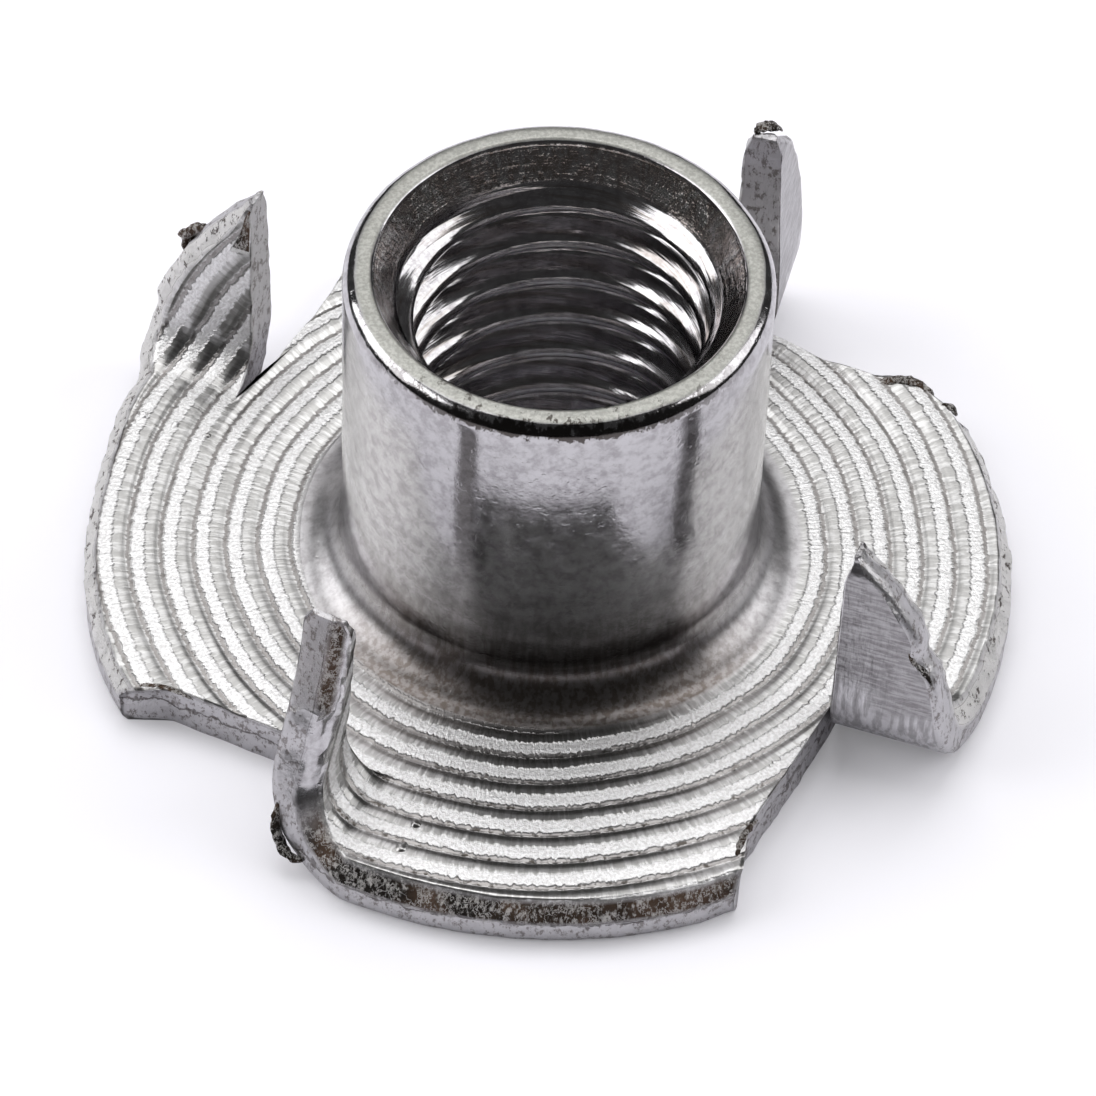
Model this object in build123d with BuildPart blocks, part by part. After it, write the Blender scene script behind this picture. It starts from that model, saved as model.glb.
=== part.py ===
from build123d import *
from collections import namedtuple
from math import cos, radians, sin, sqrt
import os

os.makedirs("parts", exist_ok=True)

# Tee nut for wood, drawn and stamped from one steel blank.
# The thread axis is Z. The flange's underside lies on Z = 0 and the barrel stands up.
# The M8 x 1.25 thread is kept as a plain bore at its crest radius.

# Barrel, with its lip, its countersunk mouth and the tapered start of the thread.
barrel_radius = 5.0
overall_height = 10.35
crest_radius = 3.35
lip_rounding = 0.45
mouth_radius = 4.3
mouth_depth = 0.8
mouth_foot_radius = 3.85
thread_start_depth = 0.5
flare_radius = 1.15
underside_bell_radius = 0.9

# Flange. The barrel is drawn a little off the centre of the round blank.
flange_radius = 11.2
sheet_thickness = 1.2
blank_shift_y = -0.25
rim_bevel = 0.42

# Cuts that free the prongs. Each opening is cut well past the rim.
slit_gap = 0.08
cut_reach = 7.0
cut_outer_radius = 18.0

# One row a prong. The fold starts on a line from the root out to the rim, and the
# prong's outline is given beside that line as (distance outward, height). The foot is
# how far outward the rim still stands where the bend has turned upright.
Prong = namedtuple("Prong", "root fold_azimuth bend_angle bend_radius corner foot outer tip")
PRONGS = [
    Prong((7.41, -3.59), -17.0, 99.0, 0.95, (4.6, -10.37), 2.6,
          [(2.62, 2.4), (2.2, 3.7), (1.35, 5.0), (0.2, 6.2)], (-0.15, 6.15)),
    Prong((3.34, 7.55), 76.8, 91.0, 0.96, (10.21, 4.39), 2.75,
          [(2.72, 2.6), (2.5, 4.2), (1.85, 5.9), (0.6, 7.55)], (0.05, 7.6)),
    Prong((-7.85, 4.12), 159.6, 86.5, 1.2, (-5.0, 9.9), 2.5,
          [(2.5, 2.4), (2.2, 3.6), (1.45, 4.9), (0.4, 6.15)], (0.25, 6.2)),
    Prong((-3.44, -7.67), 249.0, 94.7, 1.07, (-9.98, -5.2), 1.75,
          [(1.9, 2.2), (1.35, 3.3), (1.0, 4.7), (0.85, 6.7)], (0.4, 6.95)),
]
blank_reach = 0.5


def fold_frame(prong):
    """Origin on the flange's underside, outward along the fold, and the way the prong leaves it."""
    angle = radians(prong.fold_azimuth)
    root = Vector(prong.root[0], prong.root[1], 0)
    outward = Vector(cos(angle), sin(angle), 0)
    onward = Vector(sin(angle), -cos(angle), 0)
    return root, outward, onward


def fold_width(prong):
    """Length of the fold line from the slit's root to the flange's rim."""
    root, outward, _ = fold_frame(prong)
    from_centre = root - Vector(0, blank_shift_y, 0)
    along = from_centre.dot(outward)
    return sqrt(along**2 - from_centre.dot(from_centre) + flange_radius**2) - along


def bent_prong(prong):
    """The sheet turned up about the fold line, then trimmed to the prong's outline."""
    root, outward, onward = fold_frame(prong)
    up = Vector(0, 0, 1)
    width = fold_width(prong)
    bend = radians(prong.bend_angle)
    outer_bend_radius = prong.bend_radius + sheet_thickness
    bend_centre = root + up * outer_bend_radius
    away = onward * sin(bend) - up * cos(bend)
    height = prong.tip[1] + blank_reach
    trim = [(width, sheet_thickness)] + prong.outer

    def on_inner_skin(edge):
        place = edge.position_at(0.5) - bend_centre
        beyond_bend = place.dot(onward * cos(bend) + up * sin(bend)) > 0
        depth = place.dot(away) if beyond_bend else (place - outward * place.dot(outward)).length
        outside = place.dot(outward) > prong.tip[0] + blank_reach
        along_rim = abs(edge.tangent_at(0.5).dot(outward)) < 0.95
        return abs(depth - prong.bend_radius) < rim_bevel / 4 and outside and along_rim

    with BuildPart() as piece:
        with BuildSketch(Plane(root, outward, onward)):
            with Locations((width / 2, sheet_thickness / 2)):
                Rectangle(width + 2 * blank_reach, sheet_thickness)
        revolve(axis=Axis(bend_centre, -outward), revolution_arc=prong.bend_angle)
        with BuildSketch(Plane(bend_centre + away * outer_bend_radius, outward, away)):
            with Locations((width / 2, height / 2)):
                Rectangle(width + 2 * blank_reach, height)
        extrude(amount=-sheet_thickness)
        with BuildSketch(Plane(root, outward, onward)):
            with BuildLine():
                Polyline(
                    prong.tip,
                    (0, sheet_thickness),
                    (0, -blank_reach),
                    (width, -blank_reach),
                    (width, sheet_thickness),
                )
                Spline(*trim, tangents=[(0, 1), (-1, 1)])
                Line(prong.outer[-1], prong.tip)
            make_face()
        extrude(amount=height, both=True, mode=Mode.INTERSECT)
        rim_edges = piece.edges().filter_by(on_inner_skin)
        chamfer(rim_edges, length=rim_bevel)
        with BuildSketch(Plane(root, outward, up)):
            with BuildLine():
                Spline((width, 0), (prong.foot, -outer_bend_radius), tangents=[(0, -1), (0, -1)])
                Polyline(
                    (prong.foot, -outer_bend_radius),
                    (prong.foot, -height),
                    (-blank_reach, -height),
                    (-blank_reach, 0),
                    (width, 0),
                )
            make_face()
        extrude(amount=height, mode=Mode.INTERSECT)
    return piece.part


prong_parts = [bent_prong(prong) for prong in PRONGS]

with BuildPart() as tee_nut:
    # Flange blank with its bevelled rim.
    with BuildSketch(Plane((0, blank_shift_y, 0), (1, 0, 0), (0, -1, 0))):
        with BuildLine():
            Polyline(
                (0, 0),
                (flange_radius, 0),
                (flange_radius, sheet_thickness - rim_bevel),
                (flange_radius - rim_bevel, sheet_thickness),
                (0, sheet_thickness),
                close=True,
            )
        make_face()
    revolve(axis=Axis((0, blank_shift_y, 0), (0, 0, 1)))

    # Openings left by the sheet that became the prongs.
    for prong in PRONGS:
        root, outward, onward = fold_frame(prong)
        inner = root - outward * slit_gap
        corner = Vector(prong.corner[0], prong.corner[1], 0)
        cut_way = (corner - inner).normalized()
        fold_end = root + outward * cut_reach
        cut_end = corner + cut_way * cut_reach
        far_side = (fold_end + cut_end).normalized() * cut_outer_radius
        with BuildSketch():
            with BuildLine():
                Polyline(
                    (inner.X, inner.Y),
                    (fold_end.X, fold_end.Y),
                    (far_side.X, far_side.Y),
                    (cut_end.X, cut_end.Y),
                    close=True,
                )
            make_face()
        extrude(amount=sheet_thickness, mode=Mode.SUBTRACT)

    for prong_part in prong_parts:
        add(prong_part)

    # Barrel with the concave flare at its foot and the rounded lip.
    with BuildSketch(Plane.XZ):
        with BuildLine():
            Line((0, 0), (barrel_radius + flare_radius, 0))
            Line((barrel_radius + flare_radius, 0), (barrel_radius + flare_radius, sheet_thickness))
            RadiusArc(
                (barrel_radius + flare_radius, sheet_thickness),
                (barrel_radius, sheet_thickness + flare_radius),
                flare_radius,
            )
            Line(
                (barrel_radius, sheet_thickness + flare_radius),
                (barrel_radius, overall_height - lip_rounding),
            )
            RadiusArc(
                (barrel_radius, overall_height - lip_rounding),
                (barrel_radius - lip_rounding, overall_height),
                -lip_rounding,
            )
            Line((barrel_radius - lip_rounding, overall_height), (0, overall_height))
            Line((0, overall_height), (0, 0))
        make_face()
    revolve(axis=Axis.Z)

    # Bore: countersunk mouth, tapered thread start, crest bore, belled underside.
    mouth_foot = overall_height - mouth_depth
    thread_top = mouth_foot - thread_start_depth
    with BuildSketch(Plane.XZ):
        with BuildLine():
            Polyline(
                (crest_radius, underside_bell_radius),
                (crest_radius, thread_top),
                (mouth_foot_radius, mouth_foot),
                (mouth_radius, overall_height),
                (0, overall_height),
                (0, 0),
                (crest_radius + underside_bell_radius, 0),
            )
            RadiusArc(
                (crest_radius + underside_bell_radius, 0),
                (crest_radius, underside_bell_radius),
                underside_bell_radius,
            )
        make_face()
    revolve(axis=Axis.Z, mode=Mode.SUBTRACT)

tee_nut.part.label = "tee_nut"
export_step(tee_nut.part, "parts/tee_nut.step")
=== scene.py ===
from math import atan2, cos, pi, radians, sin

import bpy
import numpy as np
from mathutils import Matrix, Vector


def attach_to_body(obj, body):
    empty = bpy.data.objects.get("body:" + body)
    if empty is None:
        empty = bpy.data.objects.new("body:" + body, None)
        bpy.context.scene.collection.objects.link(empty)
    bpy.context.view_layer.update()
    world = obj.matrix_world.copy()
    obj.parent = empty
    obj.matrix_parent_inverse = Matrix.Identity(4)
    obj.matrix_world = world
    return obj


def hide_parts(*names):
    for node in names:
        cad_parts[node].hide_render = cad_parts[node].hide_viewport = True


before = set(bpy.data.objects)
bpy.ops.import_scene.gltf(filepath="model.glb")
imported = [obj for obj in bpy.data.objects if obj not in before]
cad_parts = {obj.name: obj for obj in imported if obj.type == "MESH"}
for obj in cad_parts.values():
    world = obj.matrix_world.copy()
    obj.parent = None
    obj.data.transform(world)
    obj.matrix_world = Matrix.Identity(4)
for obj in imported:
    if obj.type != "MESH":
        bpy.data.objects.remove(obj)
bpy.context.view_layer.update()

# ---------------------------------------------------------------------------
# The nut's blank: one round of mild steel sheet. The barrel is drawn up out of
# its middle and four slits free the prongs, which are folded up at the ends of
# the four lobes. Sizes are in millimetres until the mesh is made.
# ---------------------------------------------------------------------------
MM = 0.001
sheet = 1.2
blank_radius = 11.2
blank_centre = np.array([0.0, -0.25])
ring_centre = np.array([-0.147, 0.0])
rim_bevel = 0.42
rim_rounding = 0.2

# Each row: slit root, fold azimuth, bend angle, bend radius, corner of the lobe that the prong
# was cut from, then (outward, height) places up its outer edge, and its tip.
# How far each lobe's sheared edge strays from a straight line, by distance from the slit's root.
cut_sway = {
    "right": ((0, 0), (0.3, 0.42), (0.5, 0.24), (0.69, 0.35), (0.80, 0.68), (0.91, 0.38), (1, 0)),
    "front": ((0, 0), (0.25, -0.05), (0.5, -0.18), (0.7, -0.3), (0.83, -0.37), (1, 0)),
    "left": ((0, 0), (0.2, -0.05), (0.44, -0.22), (0.7, -0.32), (0.86, -0.38), (1, 0)),
    "back": ((0, 0), (0.18, -0.22), (0.42, -0.2), (0.56, -0.26), (0.73, -0.24), (1, 0)),
}
prongs = [
    dict(name="right", notch=0.22, root=(7.41, -3.59), fold=-17.0, bend=99.0, radius=0.95, corner=(4.6, -10.37),
         edge=((2.62, 2.4), (2.2, 3.7), (1.35, 5.0), (0.2, 6.2)), tip=(-0.15, 6.15)),
    dict(name="front", root=(-3.44, -7.67), fold=249.0, bend=94.7, radius=1.07, corner=(-9.98, -5.2),
         edge=((1.9, 2.2), (1.35, 3.3), (1.0, 4.7), (0.85, 6.7)), tip=(0.4, 6.95)),
    dict(name="left", spread=0.4, root=(-7.85, 4.12), fold=159.6, bend=86.5, radius=1.2, corner=(-5.0, 9.9),
         edge=((2.74, 2.4), (2.27, 3.6), (1.45, 4.9), (0.4, 6.15)), tip=(0.25, 6.2)),
    dict(name="back", root=(3.34, 7.55), fold=76.8, bend=91.0, radius=0.96, corner=(10.21, 4.39),
         edge=((2.72, 2.6), (2.5, 4.2), (1.85, 5.9), (0.6, 7.55)), tip=(0.05, 7.6)),
]


def uneven(place, grain, seed):
    """Smooth unevenness from -1 to 1. Random values stand on a cubic lattice one grain apart,
    and a point blends the eight around it by 3t^2 - 2t^3 along each axis."""
    lattice = np.random.default_rng(seed).uniform(-1, 1, (32, 32, 32))
    scaled = place / grain
    cell = np.floor(scaled).astype(int)
    part = scaled - cell
    part = part * part * (3 - 2 * part)
    total = np.zeros(place.shape[:-1])
    for corner in np.ndindex(2, 2, 2):
        share = np.prod(np.where(corner, part, 1 - part), axis=-1)
        at = (cell + corner) % 32
        total += share * lattice[at[..., 0], at[..., 1], at[..., 2]]
    return total


def ease(value, start, end):
    """0 before start, 1 after end, and 3t^2 - 2t^3 between them."""
    t = np.clip((value - start) / (end - start), 0, 1)
    return t * t * (3 - 2 * t)


# The coined rings: seven shallow concentric ripples pressed into the sheet's top.
ring_pitch = 0.779
ring_start = 6.1
ring_depth = 0.052


def ring_height(flat):
    """Height of the rings at flat places (x, y): a rounded land and a narrower groove in each
    pitch of the distance from the rings' centre, faded out inside the flare's foot."""
    away = flat - ring_centre
    distance = np.hypot(away[..., 0], away[..., 1])
    phase = ring_count(flat)
    t = phase - np.floor(phase)
    land = ease(t, 0, 0.24) * (1 - 0.35 * ease(t, 0.45, 0.85)) * (1 - ease(t, 0.80, 1.0))
    return -ring_depth * (1 - land) * ease(distance, ring_start - 0.15, ring_start + 0.1)


def ring_count(flat):
    """How many rings lie inside a flat place, with the part of a ring as a fraction."""
    away = flat - ring_centre
    distance = np.hypot(away[..., 0], away[..., 1])
    angle = np.arctan2(away[..., 1], away[..., 0])
    return (distance + 0.03 * np.sin(5 * angle + 1.0) + 0.02 * np.sin(13 * angle) - ring_start) / ring_pitch


def fold_axes(prong):
    """Unit vectors outward along the fold and onward, the way the prong left the flange."""
    angle = radians(prong["fold"])
    return np.array([cos(angle), sin(angle)]), np.array([sin(angle), -cos(angle)])


def fold_width(prong):
    """Distance from the root to the rim along the fold, from the circle's equation."""
    outward, _ = fold_axes(prong)
    rel = np.array(prong["root"]) - blank_centre
    along = rel @ outward
    return np.sqrt(along**2 - rel @ rel + blank_radius**2) - along + prong.get("spread", 0)


def from_fold(prong, height):
    """Distance along the sheet's middle from the fold to a height up the straight leg."""
    turn = radians(prong["bend"])
    mid = prong["radius"] + sheet / 2
    return mid * turn + (height - sheet / 2 - mid * (1 - cos(turn))) / sin(turn)


def prong_edges(prong, s):
    """Slit edge and outer edge at distances s from the fold. The outer edge is the cubic nearest
    to the row's places and the rim's end, and the slit edge leans evenly to the tip."""
    width = fold_width(prong)
    at = [0.0] + [from_fold(prong, z) for _, z in prong["edge"]]
    curve = np.polyfit(at, [width] + [u for u, _ in prong["edge"]], 3)
    edge = np.polyval(curve, s) + (width - curve[-1]) * (1 - ease(s, 0, 1.2))
    edge = edge - prong.get("notch", 0) * np.exp(-(((s - 4.15) / 0.28) ** 2))
    slit = prong["tip"][0] * s / from_fold(prong, prong["tip"][1])
    return slit, edge


def bent(prong, flat, height):
    """Folds flat places into space. Past the fold line a point goes round the bend's arc and then
    straight on; its height above the sheet's middle stays square to the sheet."""
    outward, onward = fold_axes(prong)
    rel = flat - np.array(prong["root"])
    u, s = rel @ outward, rel @ onward
    turn = radians(prong["bend"])
    mid = prong["radius"] + sheet / 2
    angle = np.clip(s / mid, 0, turn)
    beyond = np.maximum(s - mid * turn, 0)
    go = np.where(s < 0, s, mid * np.sin(angle) + beyond * cos(turn)) - height * np.sin(angle)
    z = sheet / 2 + mid * (1 - np.cos(angle)) + beyond * sin(turn) + height * np.cos(angle)
    plan = np.array(prong["root"]) + u[..., None] * outward + go[..., None] * onward
    return np.concatenate([plan, z[..., None]], axis=-1)


# Grid sizes: columns round each lobe, columns along a prong, steps outward across
# the sheet, and rows through its thickness.
lobe_columns = 65
prong_columns = 40
steps_out = 41
rim_rows = 8

# The rim from the underside up: distance in from the outermost edge, and height
# above the sheet's middle. Its foot is rounded and its top is broken off in a bevel.
rim_in = np.array([0.20, 0.06, 0.0, 0.0, 0.0, 0.0, 0.16, 0.30, 0.42])
rim_up = np.array([-0.6, -0.54, -0.40, -0.20, 0.0, 0.18, 0.36, 0.48, 0.6])


def attach_ring():
    """The line where the lobes join the flange's middle, clockwise from the back root. The radius
    eases from each root's to the next one's as the azimuth goes evenly."""
    order = [prongs[3], prongs[0], prongs[1], prongs[2]]
    radii = [np.hypot(*p["root"]) for p in order]
    turns = [atan2(p["root"][1], p["root"][0]) for p in order]
    turns = np.unwrap(turns + turns[:1])
    turns[-1] = turns[0] - 2 * pi
    radii.append(radii[0])
    t = np.linspace(0, 1, lobe_columns + 1)[:-1]
    azimuth = np.concatenate([turns[k] + (turns[k + 1] - turns[k]) * t for k in range(4)])
    radius = np.concatenate([radii[k] + (radii[k + 1] - radii[k]) * ease(t, 0, 1) for k in range(4)])
    return azimuth, radius


ring_azimuth, ring_radius = attach_ring()
attach = np.stack([ring_radius * np.cos(ring_azimuth), ring_radius * np.sin(ring_azimuth)], -1)
columns = len(attach)


def lobe_flat(k):
    """Flat places of lobe k and its prong on the grid (column, step out, row through the sheet).
    Over the lobe, straight lines run from the attaching line to the rim. Over the prong, lines
    square to its length run from the slit edge to the outer edge."""
    prong = prongs[k]
    corner = np.array(prongs[k - 1]["corner"])
    outward, onward = fold_axes(prong)
    width = fold_width(prong)
    root = np.array(prong["root"])
    inner = attach[(k * lobe_columns + np.arange(lobe_columns + 1)) % columns]
    rim_end = root + outward * width - blank_centre
    rim_start = corner - blank_centre
    a0 = atan2(rim_start[1], rim_start[0])
    a1 = atan2(rim_end[1], rim_end[0])
    a1 -= 2 * pi * (a1 > a0)
    t = np.linspace(0, 1, lobe_columns + 1)
    azimuth = a0 + (a1 - a0) * t
    corner_radius = np.hypot(*rim_start)
    radius = blank_radius + (corner_radius - blank_radius) * (1 - ease(t, 0, 0.12))
    radius = radius + (np.hypot(*rim_end) - blank_radius) * ease(t, 0.62, 1)
    outer = blank_centre + radius[:, None] * np.stack([np.cos(azimuth), np.sin(azimuth)], -1)
    c = np.linspace(0, 1, prong_columns + 1)[1:]
    length = from_fold(prong, max(prong["tip"][1], prong["edge"][-1][1]))
    s = length * c
    slit, edge = prong_edges(prong, s)
    tip = np.sqrt(1 - ease(c, 0.9, 1.0) * 0.9)
    middle = (slit + edge) / 2
    half = np.maximum(edge - slit, 0.42) / 2 * tip
    slit, edge = middle - half, middle + half
    inner_prong = root + slit[:, None] * outward + s[:, None] * onward
    outer_prong = root + edge[:, None] * outward + s[:, None] * onward
    inner = np.concatenate([inner, inner_prong])
    outer = np.concatenate([outer, outer_prong])
    span = np.linalg.norm(outer - inner, axis=-1)
    direction = (outer - inner) / span[:, None]
    b = np.linspace(0, 1, steps_out + 1)
    inset = np.minimum(rim_in[None, :], 0.45 * span[:, None])
    reach = (span[:, None] - inset)[:, None, :] * b[None, :, None]
    flat = inner[:, None, None, :] + direction[:, None, None, :] * reach[..., None]
    sway_b, sway = np.array(cut_sway[prong["name"]]).T
    chord = corner - np.array(prongs[k - 1]["root"])
    aside = np.array([-chord[1], chord[0]]) / np.hypot(*chord)
    fade = 1 - ease(np.arange(len(inner)), 0, 15)
    flat = flat + (fade[:, None] * np.interp(b, sway_b, sway))[..., None, None] * aside
    return flat


def lobe_surface(k):
    """Places in space of the whole grid of lobe k, with its rings, its broken bevel and its
    sheared edges roughened, and the flat places that they came from."""
    prong = prongs[k]
    flat = lobe_flat(k)
    outward, onward = fold_axes(prong)
    s = (flat - np.array(prong["root"])) @ onward
    length = from_fold(prong, prong["tip"][1])
    taper = 1 - (0.0 if prong["name"] == "front" else 0.2) * ease(s, 3.0, length)
    taper = taper - 0.3 * ease(s, length * 0.94, length)
    height = rim_up[None, None, :] * np.where(s > 0, taper, 1.0)
    top = np.zeros(rim_rows + 1)
    top[-1] = 1
    height = height + ring_height(flat) * top * (1 - 0.5 * ease(s, 2.5, 5.0))
    place = bent(prong, flat, height)
    b = np.linspace(0, 1, steps_out + 1)[None, :, None]
    row = np.arange(rim_rows + 1)[None, None, :]
    on_rim = np.broadcast_to((b == 1) * 1.0, height.shape)
    broken = on_rim * np.isin(row, (5, 6, 7))
    rough = uneven(place, 0.34, 11) + 0.6 * uneven(place, 0.17, 12)
    lift = 0.045 * rough * broken + 0.02 * uneven(place, 0.3, 13) * on_rim
    lift = lift + 0.075 * uneven(place, 0.5, 14) * on_rim * ease(s, 0.5, 2.5)
    away = flat - blank_centre
    away = away / np.linalg.norm(away, axis=-1, keepdims=True)
    flat_moved = flat + away * lift[..., None]
    column = np.arange(flat.shape[0])[:, None, None]
    sheared = (column == 0) * np.ones_like(height)
    edge = uneven(place, 0.5, 21) * 0.05 + uneven(place, 0.2, 22) * 0.025
    middle_rows = np.isin(row, (0, 8)) * 0.3 + np.isin(row, (1, 2, 3, 4, 5, 6, 7)) * 1.0
    flat_moved = flat_moved + onward * (sheared * edge * middle_rows)[..., None] * (b > 0.04)[..., None]
    slit_side = (b == 0) & (column > lobe_columns)
    flat_moved = flat_moved + outward * (slit_side * uneven(place, 0.3, 31) * 0.03)[..., None]
    return bent(prong, flat_moved, height + 0.05 * rough * broken), flat, s


# ---------------------------------------------------------------------------
# The flange's middle and the barrel: one closed turn round the thread's axis.
# The profile goes from the underside up through the tapped bore, over the lip,
# down the barrel and out over the flare.
# ---------------------------------------------------------------------------
barrel_radius = 5.0
barrel_top = 10.35
crest_radius = 3.35
root_radius = 4.0
thread_pitch = 1.25
bell = 0.9
lip_rounding = 0.42
mouth_radius = 4.3
mouth_foot_radius = 3.85
mouth_depth = 0.8
flare_radius = 1.15


def straight(start, end, count):
    """Evenly spaced (radius, height) pairs from start up to, but not at, end."""
    t = np.linspace(0, 1, count + 1)[:-1, None]
    return np.array(start) * (1 - t) + np.array(end) * t


def arc(centre, radius, from_angle, to_angle, count):
    """Evenly turned (radius, height) pairs on a circle, without the last one."""
    a = np.radians(np.linspace(from_angle, to_angle, count + 1))[:-1]
    return np.stack([centre[0] + radius * np.cos(a), centre[1] + radius * np.sin(a)], -1)


mouth_foot = barrel_top - mouth_depth
thread_rows = 92
profile = np.concatenate([
    arc((crest_radius + bell, bell), bell, 270, 180, 6),
    straight((crest_radius, bell), (crest_radius, mouth_foot - 0.35), thread_rows),
    straight((crest_radius + 0.1, mouth_foot - 0.35), (mouth_foot_radius, mouth_foot), 4),
    straight((mouth_foot_radius, mouth_foot), (mouth_radius, barrel_top - 0.05), 9),
    straight((mouth_radius, barrel_top - 0.05), (mouth_radius + 0.09, barrel_top), 3),
    straight((mouth_radius + 0.09, barrel_top), (barrel_radius - lip_rounding, barrel_top), 5),
    arc((barrel_radius - lip_rounding, barrel_top - lip_rounding), lip_rounding, 90, 0, 9),
    straight((barrel_radius, barrel_top - lip_rounding), (barrel_radius, sheet + flare_radius), 24),
    arc((barrel_radius + flare_radius, sheet + flare_radius), flare_radius, 180, 270, 14),
])
underside_rows = 6
flange_rows = 30
inner_under = crest_radius + bell
inner_top = barrel_radius + flare_radius


def thread_depth(height, azimuth):
    """How far the tapped groove lies outside the crests: a 60 degree groove with a flat crest and
    a rounded bottom that climbs one pitch a turn, fading into the mouth and the underside."""
    phase = (height + azimuth / (2 * pi) * thread_pitch) / thread_pitch
    t = np.abs(phase - np.floor(phase) - 0.5) * 2
    groove = ease(t, 0.12, 0.80)
    fade = ease(height, 0.9, 1.7) * (1 - ease(height, mouth_foot - 0.45, mouth_foot - 0.1))
    return (root_radius - crest_radius) * groove * fade


def middle_surface():
    """Places of the turned part on the grid (column, profile row), with the flat places on the
    flange's top and the kind of surface of each row."""
    t = np.linspace(0, 1, underside_rows + 1)[:-1]
    under_radius = ring_radius[:, None] + (inner_under - ring_radius[:, None]) * t
    under_height = np.zeros_like(under_radius)
    radius = np.broadcast_to(profile[:, 0], (columns, len(profile))).copy()
    height = np.broadcast_to(profile[:, 1], (columns, len(profile))).copy()
    turn = ring_azimuth[:, None]
    in_bore = slice(6, 6 + thread_rows + 4)
    radius[:, in_bore] += thread_depth(height[:, in_bore], turn)
    t = np.linspace(0, 1, flange_rows + 1)
    top_radius = inner_top + (ring_radius[:, None] - inner_top) * t
    top_height = np.full_like(top_radius, sheet)
    radius = np.concatenate([under_radius, radius, top_radius], axis=1)
    height = np.concatenate([under_height, height, top_height], axis=1)
    place = np.stack([radius * np.cos(turn), radius * np.sin(turn), height], -1)
    flat = place[..., :2].copy()
    top = np.zeros(radius.shape[1])
    top[-flange_rows - 1:] = 1
    place[..., 2] += ring_height(flat) * top
    first = underside_rows + 6
    lip = slice(first + thread_rows + 4 + 9, first + thread_rows + 4 + 9 + 3 + 5 + 9)
    wave = 0.03 * uneven(place[:, lip], 1.2, 41) + 0.008 * uneven(place[:, lip], 0.3, 42)
    place[:, lip, :2] *= (1 + 0.35 * wave / barrel_radius)[..., None]
    place[:, lip, 2] += wave * 0.7
    wall = slice(lip.stop, lip.stop + 24 + 14)
    place[:, wall, :2] *= (1 + 0.012 * uneven(place[:, wall], 1.6, 43) / barrel_radius)[..., None]
    rows = radius.shape[1]
    kinds = dict(bore=(underside_rows, first + thread_rows + 4), mouth=(first + thread_rows + 4, lip.start),
                 lip=(lip.start, lip.stop), wall=(wall.start, wall.stop), top=(rows - flange_rows - 1, rows))
    return place, flat, kinds


# ---------------------------------------------------------------------------
# The nut's skin: the turned middle and the four lobes sewn into one closed mesh.
# ---------------------------------------------------------------------------
class Skin:
    """Collects the points of the grids and the four-sided faces between them."""

    def __init__(self):
        self.places, self.flats, self.folds, self.marks, self.faces = [], [], [], [], []
        self.count = 0

    def add(self, place, flat, fold, mark):
        shape = place.shape[:-1]
        index = np.arange(self.count, self.count + int(np.prod(shape))).reshape(shape)
        self.count += index.size
        self.places.append(place.reshape(-1, 3))
        self.flats.append(flat.reshape(-1, 2))
        self.folds.append(fold.reshape(-1))
        self.marks.append(mark.reshape(-1, 4))
        return index

    def sew(self, index):
        """Faces over a grid of point numbers, outward where its first axis crossed with its second
        points out of the metal."""
        quads = np.stack([index[:-1, :-1], index[1:, :-1], index[1:, 1:], index[:-1, 1:]], -1)
        self.faces.append(quads.reshape(-1, 4))


skin = Skin()
place, flat, kinds = middle_surface()
marks = np.zeros(place.shape[:-1] + (4,))
marks[:, kinds["top"][0]:kinds["top"][1], 0] = 1
marks[:, kinds["bore"][0]:kinds["bore"][1], 3] = 1
marks[:, kinds["mouth"][0]:kinds["mouth"][1], 3] = 0.7
middle = skin.add(place, flat, np.full(place.shape[:-1], -9.0), marks)
skin.sew(np.concatenate([middle, middle[:1]])[:, ::-1])

# Marks on each point: rings on top, broken metal, sheared metal, machined bore.
lobes = []
for k, prong in enumerate(prongs):
    place, flat, s = lobe_surface(k)
    n_i, n_j, n_p = place.shape[:3]
    marks = np.zeros((n_i, n_j, n_p, 4))
    marks[:, :, -1, 0] = 1
    marks[:, -1, 5:8, 1] = 1
    marks[:, -1, 0:5, 2] = 0.9
    marks[0, :, 1:-1, 2] = 1
    marks[lobe_columns + 1:, 0, 1:-1, 2] = 1
    marks[lobe_columns:, 1:-1, 0, 2] = 0.7
    marks[-1, :, :, 2] = 1
    if prong["name"] == "front":
        marks[:, -1, :, 1] *= 1 - ease(s[:, -1, :], 1.0, 2.4)
        ragged = s[:, -1, 1:7] + 0.9 * uneven(place[:, -1, 1:7], 0.4, 60)
        marks[:, -1, 1:7, 1] = np.where(ragged > 4.5, 0.999, marks[:, -1, 1:7, 1])
    if prong["name"] == "left":
        marks[lobe_columns + 32:-1, 2:24, -1, 1] = 0.999
    index = skin.add(place, flat, s, marks)
    start = k * lobe_columns
    ring = (start + np.arange(lobe_columns + 1)) % columns
    index[: lobe_columns + 1, 0, -1] = middle[ring, -1]
    index[: lobe_columns + 1, 0, 0] = middle[ring, 0]
    lobes.append(index)
for k in range(4):
    lobes[(k + 1) % 4][0, 0, 1:-1] = lobes[k][lobe_columns, 0, 1:-1]
for index in lobes:
    skin.sew(index[:, :, -1][:, ::-1])
    skin.sew(index[:, :, 0])
    skin.sew(index[:, -1, :])
    skin.sew(index[lobe_columns:, 0, ::-1])
    skin.sew(index[0, :, ::-1])
    skin.sew(index[-1, :, :][::-1, ::-1])



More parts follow.
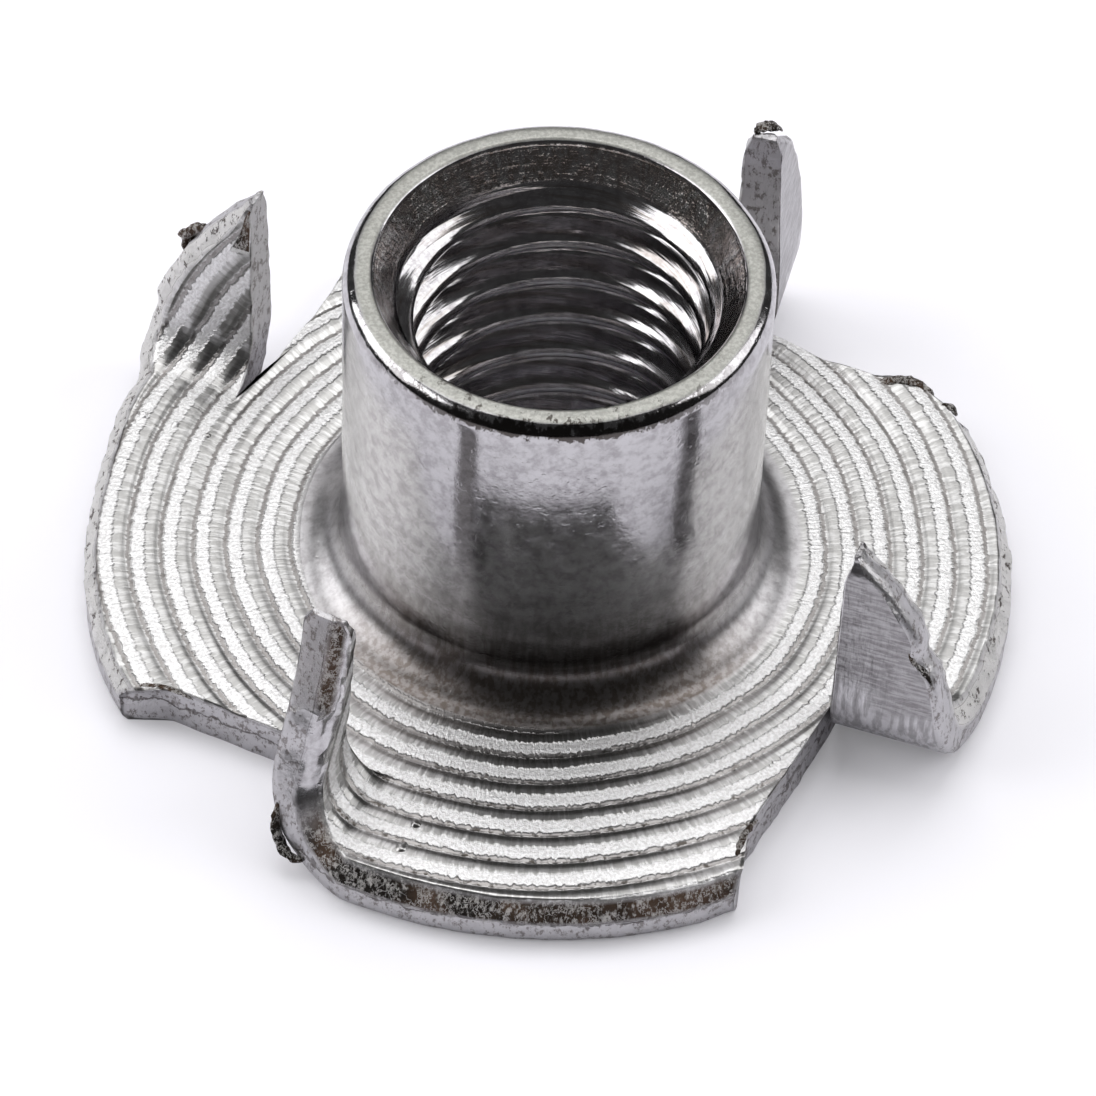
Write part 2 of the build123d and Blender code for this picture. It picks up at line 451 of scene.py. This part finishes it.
def add_burr(path, thickness, seed, torn=0.999):
    """A curl of torn metal: a tapered, uneven tube along a path, closed to a point at each end.
    The tube's radius is the thickness times the root of sin over the length, with unevenness."""
    path = np.array(path)
    t = np.linspace(0, 1, 25)
    knots = np.linspace(0, 1, len(path))
    curve = np.stack([np.polyval(np.polyfit(knots, path[:, a], len(path) - 1), t) for a in range(3)], -1)
    along = np.gradient(curve, axis=0)
    along /= np.linalg.norm(along, axis=1, keepdims=True)
    side = np.cross(along, [0.3, 0.2, 0.93])
    side /= np.linalg.norm(side, axis=1, keepdims=True)
    other = np.cross(along, side)
    turn = np.linspace(0, 2 * pi, 17)[:-1]
    size = thickness * np.sqrt(np.maximum(np.sin(pi * t), 0.0))[:, None, None]
    ringed = side[:, None] * np.cos(turn)[:, None] + 0.55 * other[:, None] * np.sin(turn)[:, None]
    place = curve[:, None] + size * ringed
    place = place + size * ringed * 0.5 * uneven(place + seed, 0.12, 50)[..., None]
    place[0], place[-1] = curve[0], curve[-1]
    marks = np.zeros(place.shape[:2] + (4,))
    marks[..., 1] = torn
    marks[..., 0] = 1 - np.ceil(torn)
    index = skin.add(place, place[..., :2], np.full(place.shape[:2], -9.0), marks)
    index[0], index[-1] = index[0, 0], index[-1, 0]
    loop = np.concatenate([index, index[:, :1]], axis=1)
    quads = np.stack([loop[:-1, :-1], loop[:-1, 1:], loop[1:, 1:], loop[1:, :-1]], -1)
    skin.faces.append(quads.reshape(-1, 4))


def on_prong(name, s, across, height):
    """A place on a prong: s from the fold, across from the slit edge (0) to the outer edge (1),
    and height above the sheet's middle."""
    prong = next(p for p in prongs if p["name"] == name)
    slit, edge = prong_edges(prong, s)
    outward, onward = fold_axes(prong)
    flat = np.array(prong["root"]) + (slit + (edge - slit) * across) * outward + s * onward
    return bent(prong, flat, np.array(height))


add_burr([on_prong("left", 3.9, 0.86, -0.2), on_prong("left", 4.15, 1.03, -0.4),
          on_prong("left", 4.6, 1.06, -0.4), on_prong("left", 4.9, 0.88, -0.2)], 0.27, 1)
add_burr([on_prong("back", 7.3, 0.6, 0.0), on_prong("back", 7.75, 0.9, 0.25),
          on_prong("back", 7.8, 1.3, 0.0), on_prong("back", 7.3, 1.1, -0.2)], 0.17, 2)
add_burr([on_prong("front", 0.9, 1.0, -0.35), on_prong("front", 1.2, 1.03, -0.62),
          on_prong("front", 1.6, 1.02, -0.62), on_prong("front", 2.1, 0.96, -0.35)], 0.16, 3)
add_burr([(9.4, 5.2, 1.0), (9.0, 5.58, 1.16), (8.4, 5.66, 1.16), (7.7, 5.7, 1.0)], 0.17, 5)
add_burr([(9.95, 4.68, 1.0), (9.85, 4.78, 1.14), (9.7, 4.9, 1.14), (9.55, 5.04, 1.0)], 0.14, 6)
add_burr([(4.62, -9.9, 1.0), (4.66, -9.4, 1.16), (4.82, -8.9, 1.18), (5.12, -8.35, 1.05)], 0.09, 7)
add_burr([(-9.8, -5.18, 1.0), (-9.3, -5.15, 1.16), (-8.7, -5.28, 1.16), (-8.1, -5.53, 1.05)], 0.08, 8)

add_burr([on_prong("right", 4.6, 0.97, -0.44), on_prong("right", 4.2, 0.90, -0.52),
          on_prong("right", 3.8, 0.95, -0.53), on_prong("right", 3.3, 0.88, -0.55)], 0.10, 9)
# Bright flakes that the bending tool pushed up just before two of the folds.
for number, (x, y, lean) in enumerate((
    (-10.04, 3.45, 0.10), (-9.25, 3.16, 0.14), (-8.47, 2.83, 0.12), (-2.83, -9.09, 0.16), (-3.12, -9.75, 0.18),
)):
    add_burr([(x - 0.6 * lean, y - 1.1 * lean, 1.12), (x - 0.2 * lean, y - 0.3 * lean, 1.17),
              (x + 0.2 * lean, y + 0.3 * lean, 1.17), (x + 0.6 * lean, y + 1.1 * lean, 1.12)], 0.13, 20 + number, 0)

places = np.concatenate(skin.places)
faces = np.concatenate(skin.faces)
used, renumbered = np.unique(faces, return_inverse=True)
faces = renumbered.reshape(faces.shape)
mesh = bpy.data.meshes.new("tee_nut_skin")
mesh.from_pydata(places[used] * MM, [], faces)
for name, kind, values in (
    ("flat_place", "FLOAT_VECTOR", np.c_[np.concatenate(skin.flats) * MM, np.zeros(len(places))]),
    ("ring_count", "FLOAT", ring_count(np.concatenate(skin.flats))),
    ("fold_distance", "FLOAT", np.concatenate(skin.folds) * MM),
    ("marks", "FLOAT_COLOR", np.concatenate(skin.marks)),
):
    layer = mesh.attributes.new(name, kind, "POINT")
    key = {"FLOAT_VECTOR": "vector", "FLOAT": "value", "FLOAT_COLOR": "color"}[kind]
    layer.data.foreach_set(key, values[used].ravel())
mesh.shade_smooth()
mesh.validate()
nut = bpy.data.objects.new("tee_nut_skin", mesh)
bpy.context.collection.objects.link(nut)

# Bright-rolled mild steel: matte where the rings were coined, polished by the die on the barrel,
# torn along the broken rim, grey on the sheared edges, dark brown in the grooves. Painted shade: the torn rim black at
# the front, dark about the barrel's foot and on the front of the lip.
steel = bpy.data.materials.new("bright_steel")
steel.use_nodes = True
tree = steel.node_tree
shader = tree.nodes["Principled BSDF"]


def put(target, value):
    """Links a socket or sets a constant."""
    if isinstance(value, bpy.types.NodeSocket):
        tree.links.new(value, target)
    else:
        target.default_value = value


def math(operation, *values, clamp=False):
    node = tree.nodes.new("ShaderNodeMath")
    node.operation = operation
    node.use_clamp = clamp
    for socket, value in zip(node.inputs, values):
        put(socket, value)
    return node.outputs[0]


def vector(operation, *values):
    node = tree.nodes.new("ShaderNodeVectorMath")
    node.operation = operation
    for socket, value in zip(node.inputs, values):
        put(socket, value)
    return node.outputs["Value"] if operation in ("LENGTH", "DOT_PRODUCT") else node.outputs["Vector"]


def attribute(name):
    node = tree.nodes.new("ShaderNodeAttribute")
    node.attribute_name = name
    return node


def noise(place, size, detail=2.0, rough=0.5):
    """Noise from 0 to 1 whose features are about size millimetres across."""
    node = tree.nodes.new("ShaderNodeTexNoise")
    put(node.inputs["Vector"], place)
    node.inputs["Scale"].default_value = 1 / size
    node.inputs["Detail"].default_value = detail
    node.inputs["Roughness"].default_value = rough
    return node.outputs["Fac"]


def between(value, low, high):
    """0 below low, 1 above high."""
    node = tree.nodes.new("ShaderNodeMapRange")
    node.interpolation_type = "SMOOTHSTEP"
    put(node.inputs["Value"], value)
    node.inputs["From Min"].default_value = low
    node.inputs["From Max"].default_value = high
    return node.outputs["Result"]


def blend(share, first, second):
    """The first colour where share is 0 and the second where it is 1."""
    node = tree.nodes.new("ShaderNodeMix")
    node.data_type = "RGBA"
    put(node.inputs["Factor"], share)
    put(node.inputs["A"], first)
    put(node.inputs["B"], second)
    return node.outputs["Result"]


def pick(share, first, second):
    """The first number where share is 0 and the second where it is 1."""
    return math("ADD", math("MULTIPLY", math("SUBTRACT", 1.0, share), first), math("MULTIPLY", share, second))


place = vector("MULTIPLY", tree.nodes.new("ShaderNodeTexCoord").outputs["Object"], (1000, 1000, 1000))
flat_place = vector("MULTIPLY", attribute("flat_place").outputs["Vector"], (1000, 1000, 1000))
mark = attribute("marks")
split = tree.nodes.new("ShaderNodeSeparateColor")
put(split.inputs["Color"], mark.outputs["Color"])
ringed, torn, sheared = split.outputs[0], split.outputs[1], split.outputs[2]
tapped = mark.outputs["Alpha"]

from_centre = vector("SUBTRACT", flat_place, (float(ring_centre[0]), float(ring_centre[1]), 0))
spoke = vector("MULTIPLY", vector("NORMALIZE", from_centre), (8.5, 8.5, 0))
outward_run = tree.nodes.new("ShaderNodeCombineXYZ")
put(outward_run.inputs["Z"], math("MULTIPLY", vector("LENGTH", from_centre), 0.22))
feather_place = vector("ADD", spoke, outward_run.outputs["Vector"])
feathers = noise(feather_place, 0.11, 3.0, 0.6)
grain = noise(place, 0.08, 3.0, 0.65)
pits = between(noise(place, 0.16, 2.0), 0.60, 0.72)
mottle = noise(place, 0.45, 4.0, 0.62)
patches = noise(place, 2.2, 3.0, 0.6)
specks = between(noise(place, 0.2, 3.0, 0.6), 0.54, 0.62)
wiped = noise(vector("MULTIPLY", place, (1, 1, 0.12)), 0.16, 3.0, 0.6)
turned = noise(vector("MULTIPLY", place, (0.22, 0.22, 5.0)), 0.45, 3.0, 0.6)
axes = tree.nodes.new("ShaderNodeSeparateXYZ")
put(axes.inputs["Vector"], place)
front = math("SUBTRACT", 1.0, between(axes.outputs["Y"], -8.6, -5.5))

# Across one ring, outward: a thin light line, a smooth grey band, a frosted band and a dark groove.
ring = math("FRACT", math("ADD", attribute("ring_count").outputs["Fac"],
                          math("MULTIPLY", math("SUBTRACT", feathers, 0.5), 0.30)))
frosted = math("MULTIPLY", between(ring, 0.42, 0.52), math("SUBTRACT", 1.0, between(ring, 0.84, 0.9)))
groove = math("ADD", between(ring, 0.88, 0.93), math("SUBTRACT", 1.0, between(ring, 0.0, 0.05)), clamp=True)
frosted = math("MULTIPLY", frosted, ringed)
groove = math("MULTIPLY", groove, ringed)
smooth_band = math("MULTIPLY", ringed, math("SUBTRACT", 1.0, math("ADD", frosted, groove, clamp=True), clamp=True))

clean = (0.60, 0.59, 0.605, 1)
colour = blend(between(noise(place, 0.3, 5.0, 0.7), 0.40, 0.66), clean, (0.42, 0.405, 0.42, 1))
colour = blend(frosted, colour, blend(between(grain, 0.42, 0.58), (0.80, 0.79, 0.79, 1), (0.97, 0.965, 0.97, 1)))
band_colour = blend(between(feathers, 0.44, 0.6), (0.42, 0.415, 0.405, 1), (0.62, 0.615, 0.61, 1))
colour = blend(math("MULTIPLY", smooth_band, 0.9), colour, band_colour)
colour = blend(math("MULTIPLY", groove, 0.7), colour, (0.20, 0.185, 0.17, 1))
# Black flecks in the grooves, three times as dense at the front; the extra density at the front is painted shade.
dark_flecks = math("MULTIPLY", math("MULTIPLY", groove, specks), pick(front, 0.3, 0.9))
colour = blend(dark_flecks, colour, (0.05, 0.042, 0.035, 1))
streaks = between(turned, 0.50, 0.68)
colour = blend(math("MULTIPLY", tapped, math("MULTIPLY", streaks, 0.6)), colour, (0.30, 0.26, 0.23, 1))

# Brown tool marks down the countersunk mouth.
cone = math("MULTIPLY", tapped, between(axes.outputs["Z"], 9.45, 9.6))
cone_marks = noise(vector("MULTIPLY", place, (1, 1, 0.25)), 0.28, 4.0, 0.7)
colour = blend(math("MULTIPLY", cone, 0.75), colour, blend(between(cone_marks, 0.42, 0.6), (0.62, 0.52, 0.46, 1), (0.85, 0.83, 0.81, 1)))

# Painted shade about the barrel's foot, where it meets the flange, darkest at the front.
low = math("SUBTRACT", 1.0, between(axes.outputs["Z"], 1.6, 5.2))
flared = math("SUBTRACT", 1.0, between(axes.outputs["Z"], 1.7, 2.4))
out_from_axis = vector("LENGTH", vector("MULTIPLY", place, (1, 1, 0)))
low = math("MULTIPLY", low, math("SUBTRACT", 1.0, between(out_from_axis, 6.25, 6.6)))
bare = math("SUBTRACT", 1.0, math("ADD", ringed, math("ADD", torn, math("ADD", sheared, tapped)), clamp=True), clamp=True)
near_front = math("SUBTRACT", 1.0, between(axes.outputs["Y"], -4.9, -1.5))
painted_foot_shade = math("MULTIPLY", math("MULTIPLY", low, bare), pick(near_front, 0.12, 1.0))
painted_foot_shade = math("MULTIPLY", painted_foot_shade, pick(between(wiped, 0.42, 0.6), 0.75, 1.0))
colour = blend(painted_foot_shade, colour, (0.15, 0.128, 0.115, 1))

# Torn metal: black and brown with bright ridges at the front, pale and pitted elsewhere; the black at the front is
# painted shade.
crackle = noise(place, 0.2, 3.0, 0.6)
shreds = noise(vector("MULTIPLY", place, (1, 0.6, 0.6)), 0.15, 5.0, 0.75)
ridges = math("SUBTRACT", 1.0, between(math("ABSOLUTE", math("SUBTRACT", noise(place, 0.5, 4.0, 0.7), 0.5)), 0.004, 0.022))
slivers = noise(vector("MULTIPLY", place, (1, 1, 0.35)), 0.11, 4.0, 0.7)
flecks = math("MAXIMUM", math("MULTIPLY", ridges, 0.9), math("MULTIPLY", between(shreds, 0.46, 0.60), between(slivers, 0.43, 0.53)))
dark_torn_and_front_shade = blend(between(patches, 0.4, 0.6), (0.028, 0.024, 0.021, 1), (0.14, 0.095, 0.07, 1))
dark_torn_and_front_shade = blend(math("MULTIPLY", flecks, 0.85), dark_torn_and_front_shade, (0.72, 0.70, 0.68, 1))
pale_torn = blend(between(shreds, 0.54, 0.62), (0.84, 0.83, 0.82, 1), (0.12, 0.10, 0.09, 1))
black_patch = between(torn, 0.9, 0.999)
black_patch = math("MULTIPLY", black_patch, math("SUBTRACT", 1.0, between(torn, 0.9991, 0.9999)))
# The front mask paints the torn bevel black where it faces away from the lamps, which is painted shade; the patches
# marked 0.999 take the black colour wherever they lie.
colour = blend(torn, colour, blend(math("MAXIMUM", front, black_patch), pale_torn, dark_torn_and_front_shade))

# The barrel's flat end, matte and faintly green-grey.
flat_end = math("MULTIPLY", between(axes.outputs["Z"], 10.30, 10.335), math("SUBTRACT", 1.0, between(tapped, 0.0, 0.5)))
colour = blend(math("MULTIPLY", flat_end, 0.9), colour, blend(between(grain, 0.40, 0.62), (0.36, 0.36, 0.33, 1), (0.50, 0.50, 0.465, 1)))

# A ragged black band painted on the front of the lip's outer rounding: painted shade.
painted_lip_shade = math("ADD", axes.outputs["Z"], math("MULTIPLY", math("SUBTRACT", math("ADD", shreds, mottle), 1.0), 0.55))
painted_lip_shade = math("MULTIPLY", between(painted_lip_shade, 10.0, 10.05), math("SUBTRACT", 1.0, between(painted_lip_shade, 10.24, 10.30)))
painted_lip_shade = math("MULTIPLY", math("MULTIPLY", painted_lip_shade, bare), near_front)
colour = blend(math("MULTIPLY", painted_lip_shade, 0.9), colour, (0.06, 0.05, 0.043, 1))

# Sheared metal: grey, with a wandering crack half-way down the edge and fine pits.
mid_crack = math("ABSOLUTE", math("SUBTRACT", axes.outputs["Z"], math("ADD", 0.32, math("MULTIPLY", mottle, 0.75))))
mid_crack = math("SUBTRACT", 1.0, between(mid_crack, 0.02, 0.06))
shear_colour = blend(between(shreds, 0.51, 0.60), (0.58, 0.57, 0.585, 1), (0.22, 0.20, 0.195, 1))
shear_colour = blend(math("MULTIPLY", mid_crack, 0.8), shear_colour, (0.10, 0.085, 0.08, 1))
back = math("MULTIPLY", between(sheared, 0.6, 0.68), math("SUBTRACT", 1.0, between(sheared, 0.72, 0.8)))
from_fold_line = attribute("fold_distance").outputs["Fac"]
scored = noise(vector("MULTIPLY", place, (0.12, 0.12, 1)), 0.07, 3.0, 0.6)
upper_back = blend(between(scored, 0.42, 0.62), (0.17, 0.16, 0.165, 1), (0.40, 0.39, 0.40, 1))
lower_back = blend(between(wiped, 0.40, 0.60), (0.34, 0.33, 0.34, 1), (0.76, 0.75, 0.77, 1))
fold_break = math("ADD", from_fold_line, math("MULTIPLY", math("SUBTRACT", patches, 0.5), 0.003))
shear_colour = blend(back, shear_colour, blend(between(fold_break, 0.0022, 0.0028), lower_back, upper_back))
colour = blend(math("MULTIPLY", sheared, 0.9), colour, shear_colour)

roughness = pick(between(mottle, 0.35, 0.7), 0.08, 0.19)
roughness = pick(flared, roughness, 0.32)
roughness = pick(ringed, roughness, pick(frosted, 0.30, 0.46))
roughness = pick(flat_end, roughness, 0.50)
roughness = pick(tapped, roughness, 0.13)
roughness = pick(torn, roughness, 0.50)
roughness = pick(math("MULTIPLY", sheared, 0.9), roughness, 0.46)

height = math("MULTIPLY", smooth_band, math("MULTIPLY", feathers, 0.010))
height = math("ADD", height, math("MULTIPLY", frosted, math("MULTIPLY", math("ADD", grain, feathers), 0.020)))
height = math("ADD", height, math("MULTIPLY", math("MULTIPLY", torn, shreds), 0.13))
height = math("ADD", height, math("MULTIPLY", math("MULTIPLY", sheared, math("ADD", crackle, wiped)), 0.025))
height = math("ADD", height, math("MULTIPLY", mid_crack, math("MULTIPLY", sheared, -0.03)))
height = math("ADD", height, math("MULTIPLY", bare, math("ADD", math("MULTIPLY", grain, 0.002), math("ADD", math("MULTIPLY", mottle, 0.004), math("MULTIPLY", pits, -0.002)))))
height = math("ADD", height, math("MULTIPLY", tapped, math("MULTIPLY", turned, 0.012)))
height = math("ADD", height, math("MULTIPLY", cone, math("MULTIPLY", cone_marks, 0.05)))
bump = tree.nodes.new("ShaderNodeBump")
bump.inputs["Distance"].default_value = MM
bump.inputs["Strength"].default_value = 1.0
put(bump.inputs["Height"], height)

put(shader.inputs["Base Color"], colour)
put(shader.inputs["Roughness"], roughness)
put(shader.inputs["Normal"], bump.outputs["Normal"])
shader.inputs["Metallic"].default_value = 1.0
mesh.materials.append(steel)
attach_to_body(nut, "root")
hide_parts("tee_nut")

# ---------------------------------------------------------------------------
# Floor, light and camera.
# ---------------------------------------------------------------------------
floor_size = 0.6
bpy.ops.mesh.primitive_plane_add(size=floor_size, location=(0, 0, 0))
floor = bpy.context.object
floor.name = "floor"
white = bpy.data.materials.new("white_floor")
white.use_nodes = True
floor_shader = white.node_tree.nodes["Principled BSDF"]
floor_shader.inputs["Base Color"].default_value = (0.86, 0.85, 0.90, 1)
floor_shader.inputs["Roughness"].default_value = 0.8
floor_shader.inputs["Emission Color"].default_value = (1, 1, 1, 1)
seen = white.node_tree.nodes.new("ShaderNodeLightPath")
lift = white.node_tree.nodes.new("ShaderNodeMath")
lift.operation = "MULTIPLY"
white.node_tree.links.new(seen.outputs["Is Camera Ray"], lift.inputs[0])
lift.inputs[1].default_value = 0.12
white.node_tree.links.new(lift.outputs[0], floor_shader.inputs["Emission Strength"])
floor.data.materials.append(white)

world = bpy.data.worlds.new("studio")
bpy.context.scene.world = world
world.use_nodes = True
sky = world.node_tree.nodes["Background"]
sky.inputs["Color"].default_value = (1, 1, 1, 1)
path = world.node_tree.nodes.new("ShaderNodeLightPath")
glossy = world.node_tree.nodes.new("ShaderNodeMapRange")
world.node_tree.links.new(path.outputs["Is Glossy Ray"], glossy.inputs["Value"])
glossy.inputs["To Min"].default_value = 0.35
glossy.inputs["To Max"].default_value = 0.04
camera_white = world.node_tree.nodes.new("ShaderNodeMath")
camera_white.operation = "MAXIMUM"
world.node_tree.links.new(path.outputs["Is Camera Ray"], camera_white.inputs[0])
world.node_tree.links.new(glossy.outputs["Result"], camera_white.inputs[1])
world.node_tree.links.new(camera_white.outputs[0], sky.inputs["Strength"])

for name, azimuth, elevation, distance, wide, high, brightness in (
    ("top_light", 90, 70, 0.36, 0.30, 0.22, 2.4),
    ("back_light", 90, 42, 0.42, 0.46, 0.16, 1.0),
    ("left_light", 172, 38, 0.40, 0.34, 0.30, 2.4),
    ("right_light", 10, 36, 0.42, 0.30, 0.30, 1.9),
):
    data = bpy.data.lights.new(name, "AREA")
    data.shape = "RECTANGLE"
    data.size = wide
    data.size_y = high
    data.energy = brightness * pi * wide * high
    light = bpy.data.objects.new(name, data)
    bpy.context.collection.objects.link(light)
    a, e = radians(azimuth), radians(elevation)
    towards = Vector((cos(a) * cos(e), sin(a) * cos(e), sin(e)))
    light.location = towards * distance
    light.rotation_euler = towards.to_track_quat("Z", "Y").to_euler()

camera_distance = 0.137367
camera_elevation = radians(48.647)
camera_roll = radians(2.3)
lens_length = 185.57
frame_drop = 21.06 / 1096
camera_data = bpy.data.cameras.new("camera")
camera = bpy.data.objects.new("camera", camera_data)
bpy.context.collection.objects.link(camera)
back = Vector((0, -cos(camera_elevation), sin(camera_elevation)))
right = Vector((1, 0, 0))
up = back.cross(right)
leaned_right = right * cos(camera_roll) + up * sin(camera_roll)
leaned_up = up * cos(camera_roll) - right * sin(camera_roll)
camera.matrix_world = Matrix.Translation(back * camera_distance) @ Matrix(
    (leaned_right, leaned_up, back)
).transposed().to_4x4()
camera_data.lens = lens_length
camera_data.sensor_width = 36
camera_data.shift_y = frame_drop
camera_data.clip_start = 0.01
camera_data.clip_end = 10
bpy.context.scene.camera = camera
bpy.context.scene.view_settings.view_transform = "Standard"
